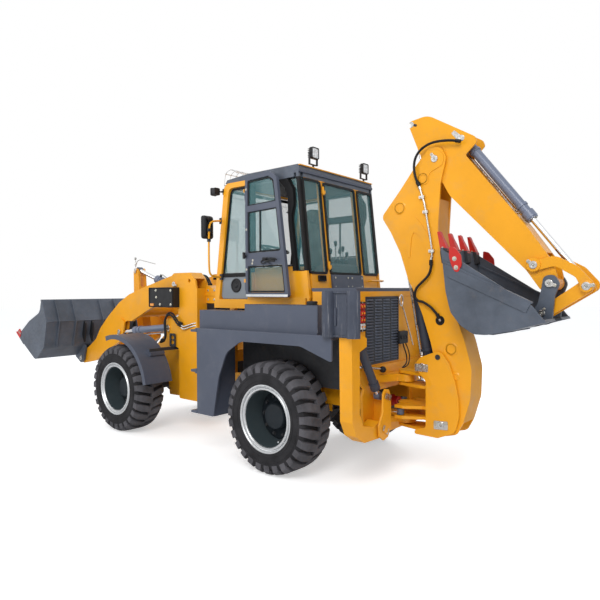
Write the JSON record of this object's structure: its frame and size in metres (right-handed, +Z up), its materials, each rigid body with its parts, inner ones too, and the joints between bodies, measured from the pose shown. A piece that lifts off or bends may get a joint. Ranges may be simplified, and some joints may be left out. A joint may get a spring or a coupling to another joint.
{
  "type": "backhoe loader",
  "caption": "Articulated backhoe loader with a front loader bucket on a bell crank, a swinging backhoe folded at the rear, stabiliser legs and a closed cab.",
  "frame": {"origin": "middle of the footprint of the overall box, on the ground", "axes": "+X forward towards the loader bucket, +Y to the left of the driver, +Z up"},
  "size_m": [8.6, 2.216, 3.632],
  "materials": {
    "black": "matt black",
    "chrome": "polished rod",
    "glass": "clear pane",
    "grey": "satin dark blue grey",
    "iron": "dark casting",
    "lamp": "lamp housing",
    "seat": "dark seat",
    "slate": "satin slate",
    "tyre": "matt with lugs",
    "yellow": "gloss amber yellow"
  },
  "bodies": {
    "chassis": {"rear_frame": "yellow", "rear_axle": "iron", "engine_block": "iron", "cab_frame": "yellow", "cab_roof": "yellow", "cab_glass": "glass", "seat": "seat", "steering_console": "black", "rear_hood": "yellow", "rear_louvre": "black", "lamps": "lamp", "rear_mudguards": "grey", "mirrors": "black"},
    "front_frame": {"front_frame": "yellow", "front_axle": "iron", "valve_block": "iron", "front_mudguards": "grey", "head_lamps": "black"},
    "backhoe_bucket": {"backhoe_bucket": "slate"},
    "bell_crank": {"bell_crank": "yellow"},
    "boom": {"boom": "yellow"},
    "boom_ram_barrel": {"boom_ram_barrel": "grey"},
    "boom_ram_rod": {"boom_ram_rod": "chrome"},
    "bucket_link": {"bucket_link": "yellow"},
    "bucket_ram_barrel": {"bucket_ram_barrel": "grey"},
    "bucket_ram_rod": {"bucket_ram_rod": "chrome"},
    "dipper": {"dipper": "yellow"},
    "dipper_ram_barrel": {"dipper_ram_barrel": "grey"},
    "dipper_ram_rod": {"dipper_ram_rod": "chrome"},
    "door_left": {"door_left": "grey"},
    "door_right": {"door_right": "grey"},
    "guide_links": {"guide_links": "yellow"},
    "kingpost": {"kingpost": "yellow"},
    "lift_arm": {"lift_arm": "yellow"},
    "lift_ram_barrels": {"lift_ram_barrels": "grey"},
    "lift_ram_rods": {"lift_ram_rods": "chrome"},
    "loader_bucket": {"loader_bucket": "slate"},
    "stabiliser_leg_left": {"stabiliser_leg_left": "yellow"},
    "stabiliser_leg_right": {"stabiliser_leg_right": "yellow"},
    "stabiliser_pad_left": {"stabiliser_pad_left": "grey"},
    "stabiliser_pad_right": {"stabiliser_pad_right": "grey"},
    "stabiliser_ram_barrel_left": {"stabiliser_ram_barrel_left": "grey"},
    "stabiliser_ram_barrel_right": {"stabiliser_ram_barrel_right": "grey"},
    "stabiliser_ram_rod_left": {"stabiliser_ram_rod_left": "chrome"},
    "stabiliser_ram_rod_right": {"stabiliser_ram_rod_right": "chrome"},
    "steering_ram_barrel_left": {"steering_ram_barrel_left": "grey"},
    "steering_ram_barrel_right": {"steering_ram_barrel_right": "grey"},
    "steering_ram_rod_left": {"steering_ram_rod_left": "chrome"},
    "steering_ram_rod_right": {"steering_ram_rod_right": "chrome"},
    "swing_ram_barrel_left": {"swing_ram_barrel_left": "grey"},
    "swing_ram_barrel_right": {"swing_ram_barrel_right": "grey"},
    "swing_ram_rod_left": {"swing_ram_rod_left": "chrome"},
    "swing_ram_rod_right": {"swing_ram_rod_right": "chrome"},
    "tilt_link": {"tilt_link": "yellow"},
    "tilt_ram_barrel": {"tilt_ram_barrel": "grey"},
    "tilt_ram_rod": {"tilt_ram_rod": "chrome"},
    "wheel_front_left": {"wheel_front_left": "tyre"},
    "wheel_front_right": {"wheel_front_right": "tyre"},
    "wheel_rear_left": {"wheel_rear_left": "tyre"},
    "wheel_rear_right": {"wheel_rear_right": "tyre"}
  },
  "joints": [
    {"name": "articulation", "type": "hinge", "parent": "chassis", "child": "front_frame", "pos_m": [-0.05, 0, 0.8], "axis": [0, 0, 1], "range_deg": [-35, 35]},
    {"name": "steering_ram_barrel_left", "type": "hinge", "parent": "chassis", "child": "steering_ram_barrel_left", "pos_m": [-0.55, 0.3, 0.64], "axis": [0, 0, 1], "range_deg": [-12.92, 12.92]},
    {"name": "steering_ram_rod_left", "type": "slide", "parent": "steering_ram_barrel_left", "child": "steering_ram_rod_left", "axis": [1, 0, 0], "range_m": [-0.18176, 0.18176]},
    {"name": "steering_ram_barrel_right", "type": "hinge", "parent": "chassis", "child": "steering_ram_barrel_right", "pos_m": [-0.55, -0.3, 0.64], "axis": [0, 0, 1], "range_deg": [-12.92, 12.92]},
    {"name": "steering_ram_rod_right", "type": "slide", "parent": "steering_ram_barrel_right", "child": "steering_ram_rod_right", "axis": [1, 0, 0], "range_m": [-0.18176, 0.18176]},
    {"name": "wheel_rear_left", "type": "hinge", "parent": "chassis", "child": "wheel_rear_left", "pos_m": [-1.45, 0.83, 0.5875], "axis": [0, 1, 0], "continuous": true},
    {"name": "wheel_front_left", "type": "hinge", "parent": "front_frame", "child": "wheel_front_left", "pos_m": [1.36, 0.83, 0.5875], "axis": [0, 1, 0], "continuous": true},
    {"name": "wheel_rear_right", "type": "hinge", "parent": "chassis", "child": "wheel_rear_right", "pos_m": [-1.45, -0.83, 0.5875], "axis": [0, 1, 0], "continuous": true},
    {"name": "wheel_front_right", "type": "hinge", "parent": "front_frame", "child": "wheel_front_right", "pos_m": [1.36, -0.83, 0.5875], "axis": [0, 1, 0], "continuous": true},
    {"name": "lift", "type": "hinge", "parent": "front_frame", "child": "lift_arm", "pos_m": [0.79, 0, 2.01], "axis": [0, -1, 0], "range_deg": [-13, 65]},
    {"name": "lift_ram_barrels", "type": "hinge", "parent": "front_frame", "child": "lift_ram_barrels", "pos_m": [0.93, 0, 1.41], "axis": [0, -1, 0], "range_deg": [-12.56, 60.78]},
    {"name": "lift_ram_rods", "type": "slide", "parent": "lift_ram_barrels", "child": "lift_ram_rods", "axis": [0.9958, 0, -0.0912], "range_m": [-0.13174, 0.6507]},
    {"name": "loader_bucket", "type": "hinge", "parent": "lift_arm", "child": "loader_bucket", "pos_m": [3.4, 0, 0.79], "axis": [0, 1, 0], "range_deg": [0, 95]},
    {"name": "bell_crank", "type": "hinge", "parent": "lift_arm", "child": "bell_crank", "pos_m": [2.27, 0, 1.72], "axis": [0, 1, 0], "range_deg": [-45.24, 0.5]},
    {"name": "tilt_link", "type": "hinge", "parent": "loader_bucket", "child": "tilt_link", "pos_m": [3.226, 0, 1.058], "axis": [0, 1, 0], "range_deg": [-86, 0.5]},
    {"name": "tilt_ram_barrel", "type": "hinge", "parent": "front_frame", "child": "tilt_ram_barrel", "pos_m": [0.8, 0, 1.77], "axis": [0, -1, 0], "range_deg": [-12.24, 59.22]},
    {"name": "tilt_ram_rod", "type": "slide", "parent": "tilt_ram_barrel", "child": "tilt_ram_rod", "axis": [0.9512, 0, 0.3086], "range_m": [-0.40939, 0.002]},
    {"name": "door_left", "type": "hinge", "parent": "chassis", "child": "door_left", "pos_m": [-0.894, 0.733, 2.5], "axis": [0, 0, -1], "range_deg": [-7, 60]},
    {"name": "door_right", "type": "hinge", "parent": "chassis", "child": "door_right", "pos_m": [-0.894, -0.733, 2.5], "axis": [0, 0, 1], "range_deg": [0, 79]},
    {"name": "swing", "type": "hinge", "parent": "chassis", "child": "kingpost", "pos_m": [-2.53, 0, 0.8], "axis": [0, 0, 1], "range_deg": [-58, 58]},
    {"name": "swing_ram_barrel_left", "type": "hinge", "parent": "chassis", "child": "swing_ram_barrel_left", "pos_m": [-1.81, 0.3, 0.682], "axis": [0, 0, 1], "range_deg": [-1.61, 1.61]},
    {"name": "swing_ram_rod_left", "type": "slide", "parent": "swing_ram_barrel_left", "child": "swing_ram_rod_left", "axis": [-0.9908, -0.1352, 0], "range_m": [-0.17107, 0.17107]},
    {"name": "swing_ram_barrel_right", "type": "hinge", "parent": "chassis", "child": "swing_ram_barrel_right", "pos_m": [-1.81, -0.3, 0.682], "axis": [0, 0, 1], "range_deg": [-1.61, 1.61]},
    {"name": "swing_ram_rod_right", "type": "slide", "parent": "swing_ram_barrel_right", "child": "swing_ram_rod_right", "axis": [-0.9908, 0.1352, 0], "range_m": [-0.17107, 0.17107]},
    {"name": "boom", "type": "hinge", "parent": "kingpost", "child": "boom", "pos_m": [-2.99, 0, 0.6], "axis": [0, -1, 0], "range_deg": [0, 115]},
    {"name": "boom_ram_barrel", "type": "hinge", "parent": "kingpost", "child": "boom_ram_barrel", "pos_m": [-2.79, 0, 1.15], "axis": [0, -1, 0], "range_deg": [-0.1, 124.25]},
    {"name": "boom_ram_rod", "type": "slide", "parent": "boom_ram_barrel", "child": "boom_ram_rod", "axis": [0.1816, 0, 0.9834], "range_m": [-0.002, 0.94028]},
    {"name": "dipper", "type": "hinge", "parent": "boom", "child": "dipper", "pos_m": [-2.91, 0, 3.19], "axis": [0, 1, 0], "range_deg": [0, 100]},
    {"name": "dipper_ram_barrel", "type": "hinge", "parent": "boom", "child": "dipper_ram_barrel", "pos_m": [-3.09, 0, 1.34], "axis": [0, 1, 0], "range_deg": [-0.5, 7.97]},
    {"name": "dipper_ram_rod", "type": "slide", "parent": "dipper_ram_barrel", "child": "dipper_ram_rod", "axis": [0.197, 0, 0.9804], "range_m": [-0.6846, 0.002]},
    {"name": "backhoe_bucket", "type": "hinge", "parent": "dipper", "child": "backhoe_bucket", "pos_m": [-3.967, 0, 1.961], "axis": [0, 1, 0], "range_deg": [0, 140.5]},
    {"name": "guide_links", "type": "hinge", "parent": "dipper", "child": "guide_links", "pos_m": [-3.835, 0, 2.123], "axis": [0, 1, 0], "range_deg": [-0.5, 84.29]},
    {"name": "bucket_link", "type": "hinge", "parent": "guide_links", "child": "bucket_link", "pos_m": [-4.25, 0, 1.935], "axis": [0, 1, 0], "range_deg": [-13.01, 0.5]},
    {"name": "bucket_ram_barrel", "type": "hinge", "parent": "dipper", "child": "bucket_ram_barrel", "pos_m": [-3.17, 0, 3.35], "axis": [0, 1, 0], "range_deg": [-0.5, 10.2]},
    {"name": "bucket_ram_rod", "type": "slide", "parent": "bucket_ram_barrel", "child": "bucket_ram_rod", "axis": [-0.6067, 0, -0.7949], "range_m": [-0.55685, 0.002]},
    {"name": "stabiliser_leg_left", "type": "hinge", "parent": "chassis", "child": "stabiliser_leg_left", "pos_m": [-2.455, 0.497, 0.552], "axis": [-1, 0, 0], "range_deg": [0, 95]},
    {"name": "stabiliser_pad_left", "type": "hinge", "parent": "stabiliser_leg_left", "child": "stabiliser_pad_left", "pos_m": [-2.455, 0.985, 1.67], "axis": [-1, 0, 0], "range_deg": [-5.5, 0.5]},
    {"name": "stabiliser_ram_barrel_left", "type": "hinge", "parent": "stabiliser_leg_left", "child": "stabiliser_ram_barrel_left", "pos_m": [-2.455, 0.8, 1.42], "axis": [-1, 0, 0], "range_deg": [-0.5, 1.11]},
    {"name": "stabiliser_ram_rod_left", "type": "slide", "parent": "stabiliser_ram_barrel_left", "child": "stabiliser_ram_rod_left", "axis": [0, -0.5345, -0.8452], "range_m": [-0.002, 0.46884]},
    {"name": "stabiliser_leg_right", "type": "hinge", "parent": "chassis", "child": "stabiliser_leg_right", "pos_m": [-2.455, -0.497, 0.552], "axis": [1, 0, 0], "range_deg": [0, 95]},
    {"name": "stabiliser_pad_right", "type": "hinge", "parent": "stabiliser_leg_right", "child": "stabiliser_pad_right", "pos_m": [-2.455, -0.985, 1.67], "axis": [1, 0, 0], "range_deg": [-5.5, 0.5]},
    {"name": "stabiliser_ram_barrel_right", "type": "hinge", "parent": "stabiliser_leg_right", "child": "stabiliser_ram_barrel_right", "pos_m": [-2.455, -0.8, 1.42], "axis": [1, 0, 0], "range_deg": [-0.5, 1.11]},
    {"name": "stabiliser_ram_rod_right", "type": "slide", "parent": "stabiliser_ram_barrel_right", "child": "stabiliser_ram_rod_right", "axis": [0, 0.5345, -0.8452], "range_m": [-0.002, 0.46884]}
  ],
  "couplings": [
    {"joint": "steering_ram_barrel_left", "follows": "articulation", "ratio": 0.3549},
    {"joint": "steering_ram_rod_left", "follows": "articulation", "m_per_rad": -0.29426},
    {"joint": "steering_ram_barrel_right", "follows": "articulation", "ratio": 0.3549},
    {"joint": "steering_ram_rod_right", "follows": "articulation", "m_per_rad": 0.29426},
    {"joint": "lift_ram_barrels", "follows": "lift", "ratio": 0.92737},
    {"joint": "lift_ram_rods", "follows": "lift", "m_per_rad": 0.57182},
    {"joint": "bell_crank", "follows": "loader_bucket", "ratio": -0.47091},
    {"joint": "tilt_link", "follows": "loader_bucket", "ratio": -0.90001},
    {"joint": "tilt_ram_barrel", "follows": "lift", "ratio": 0.90331},
    {"joint": "tilt_ram_rod", "follows": "loader_bucket", "m_per_rad": -0.2457},
    {"joint": "swing_ram_barrel_left", "follows": "swing", "ratio": -0.019141},
    {"joint": "swing_ram_rod_left", "follows": "swing", "m_per_rad": 0.16701},
    {"joint": "swing_ram_barrel_right", "follows": "swing", "ratio": -0.019141},
    {"joint": "swing_ram_rod_right", "follows": "swing", "m_per_rad": -0.16701},
    {"joint": "boom_ram_barrel", "follows": "boom", "ratio": 1.0761},
    {"joint": "boom_ram_rod", "follows": "boom", "m_per_rad": 0.46748},
    {"joint": "dipper_ram_barrel", "follows": "dipper", "ratio": 0.074738},
    {"joint": "dipper_ram_rod", "follows": "dipper", "m_per_rad": -0.3911},
    {"joint": "backhoe_bucket", "follows": "dipper", "ratio": 1.4},
    {"joint": "guide_links", "follows": "dipper", "ratio": 0.83786},
    {"joint": "bucket_link", "follows": "dipper", "ratio": -0.12507},
    {"joint": "bucket_ram_barrel", "follows": "dipper", "ratio": 0.096988},
    {"joint": "bucket_ram_rod", "follows": "dipper", "m_per_rad": -0.31791},
    {"joint": "stabiliser_pad_left", "follows": "stabiliser_leg_left", "ratio": -0.052632},
    {"joint": "stabiliser_ram_barrel_left", "follows": "stabiliser_leg_left", "ratio": 0.006434},
    {"joint": "stabiliser_ram_rod_left", "follows": "stabiliser_leg_left", "m_per_rad": 0.28156},
    {"joint": "stabiliser_pad_right", "follows": "stabiliser_leg_right", "ratio": -0.052632},
    {"joint": "stabiliser_ram_barrel_right", "follows": "stabiliser_leg_right", "ratio": 0.006434},
    {"joint": "stabiliser_ram_rod_right", "follows": "stabiliser_leg_right", "m_per_rad": 0.28156}
  ]
}
